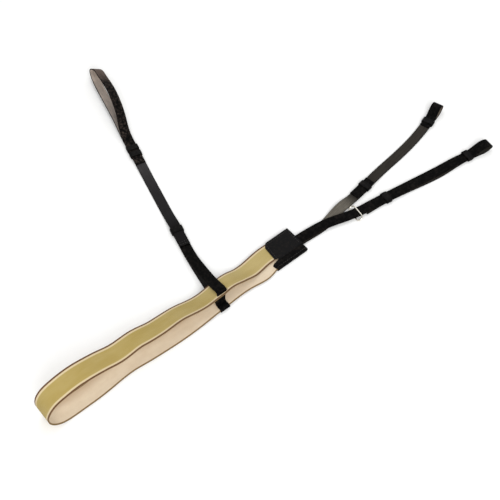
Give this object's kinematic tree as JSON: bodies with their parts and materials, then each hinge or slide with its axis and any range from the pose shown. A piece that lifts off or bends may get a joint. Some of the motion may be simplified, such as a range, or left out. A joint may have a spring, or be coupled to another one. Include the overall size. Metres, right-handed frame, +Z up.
{
  "type": "strap harness",
  "caption": "Folding strap harness: wide striped webbing loop with a sewn end tab, forked black straps with end loops and keepers, and a side strap with a hand loop.",
  "frame": {"origin": "on the surface the harness lies on, under the middle of its bounding box", "axes": "+X along the band from its fold to the fork arms, +Y towards the hand loop, +Z up"},
  "size_m": [0.9846, 0.6638, 0.0783],
  "materials": {
    "olive_webbing": "woven olive webbing with a cream stripe and a brown border at each edge",
    "beige_lining": "soft brushed beige lining",
    "tab_leather": "pebbled black leather",
    "black_strap": "black grained strap with a grey-brown flesh side",
    "black_keeper": "black leather, lightly glossed",
    "ring_wire": "bright nickel wire",
    "black_thread": "waxed black thread"
  },
  "bodies": {
    "root": {"band_webbing": "olive_webbing", "band_lining": "beige_lining", "tab_top_patch": "tab_leather", "tab_bottom_patch": "tab_leather", "tab_stitches": "black_thread", "trunk_sewn_ends": "black_strap", "side_anchor_strap": "black_strap", "side_strap_end": "black_strap", "side_end_stitches": "black_thread"},
    "side_lower_keeper": {"side_lower_keeper": "black_keeper"},
    "side_strap": {"side_strap": "black_strap", "hand_loop_tail": "black_strap", "hand_loop_keeper": "black_keeper", "hand_loop_stitches": "black_thread"},
    "side_upper_keeper": {"side_upper_keeper": "black_keeper"},
    "hand_loop": {"hand_loop": "black_strap"},
    "trunk": {"trunk_upper_strap": "black_strap", "trunk_lower_strap": "black_strap"},
    "lower_fork": {"lower_fork_strap": "black_strap"},
    "fork_ring": {"fork_ring": "ring_wire"},
    "lower_fork_inner_keeper": {"lower_fork_inner_keeper": "black_keeper"},
    "lower_fork_outer_keeper": {"lower_fork_outer_keeper": "black_keeper"},
    "upper_fork": {"upper_fork_strap": "black_strap", "upper_fork_tail": "black_strap"},
    "upper_fork_inner_keeper": {"upper_fork_inner_keeper": "black_keeper"},
    "upper_fork_outer_keeper": {"upper_fork_outer_keeper": "black_keeper"}
  },
  "joints": [
    {"name": "trunk_flex", "type": "hinge", "parent": "root", "child": "trunk", "pos_m": [0.05998, -0.25521, 0.00375], "axis": [0, -1, 0], "range_deg": [0, 70]},
    {"name": "lower_fork_flex", "type": "hinge", "parent": "trunk", "child": "lower_fork", "pos_m": [0.16198, -0.27281, 0.0049], "axis": [-0.2334, -0.9724, 0], "range_deg": [0, 60]},
    {"name": "upper_fork_flex", "type": "hinge", "parent": "trunk", "child": "upper_fork", "pos_m": [0.19898, -0.24641, 0.0039], "axis": [0.1564, -0.9877, 0], "range_deg": [0, 60]},
    {"name": "fork_ring_tilt", "type": "hinge", "parent": "lower_fork", "child": "fork_ring", "pos_m": [0.1712, -0.27596, 0.00135], "axis": [-0.1409, -0.99, 0], "range_deg": [0, 40]},
    {"name": "lower_fork_inner_keeper_slide", "type": "slide", "parent": "lower_fork", "child": "lower_fork_inner_keeper", "axis": [0.99, -0.1409, 0], "range_m": [-0.01, 0.01]},
    {"name": "lower_fork_outer_keeper_slide", "type": "slide", "parent": "lower_fork", "child": "lower_fork_outer_keeper", "axis": [0.99, -0.1409, 0], "range_m": [-0.018, 0]},
    {"name": "upper_fork_inner_keeper_slide", "type": "slide", "parent": "upper_fork", "child": "upper_fork_inner_keeper", "axis": [0.9887, 0.1499, 0], "range_m": [-0.012, 0.01]},
    {"name": "upper_fork_outer_keeper_slide", "type": "slide", "parent": "upper_fork", "child": "upper_fork_outer_keeper", "axis": [0.9586, 0.2849, 0], "range_m": [-0.008, 0]},
    {"name": "side_lower_keeper_slide", "type": "slide", "parent": "root", "child": "side_lower_keeper", "axis": [0.2487, 0.9686, 0], "range_m": [-0.018, 0]},
    {"name": "side_strap_flex", "type": "hinge", "parent": "root", "child": "side_strap", "pos_m": [-0.09449, -0.07509, 0.0053], "axis": [0.9686, -0.2487, 0], "range_deg": [0, 70]},
    {"name": "side_upper_keeper_slide", "type": "slide", "parent": "side_strap", "child": "side_upper_keeper", "axis": [0.2487, 0.9686, 0], "range_m": [-0.012, 0.003]},
    {"name": "hand_loop_flex", "type": "hinge", "parent": "side_strap", "child": "hand_loop", "pos_m": [-0.04227, 0.12831, 0.00375], "axis": [0.9686, -0.2487, 0], "range_deg": [0, 70]}
  ]
}
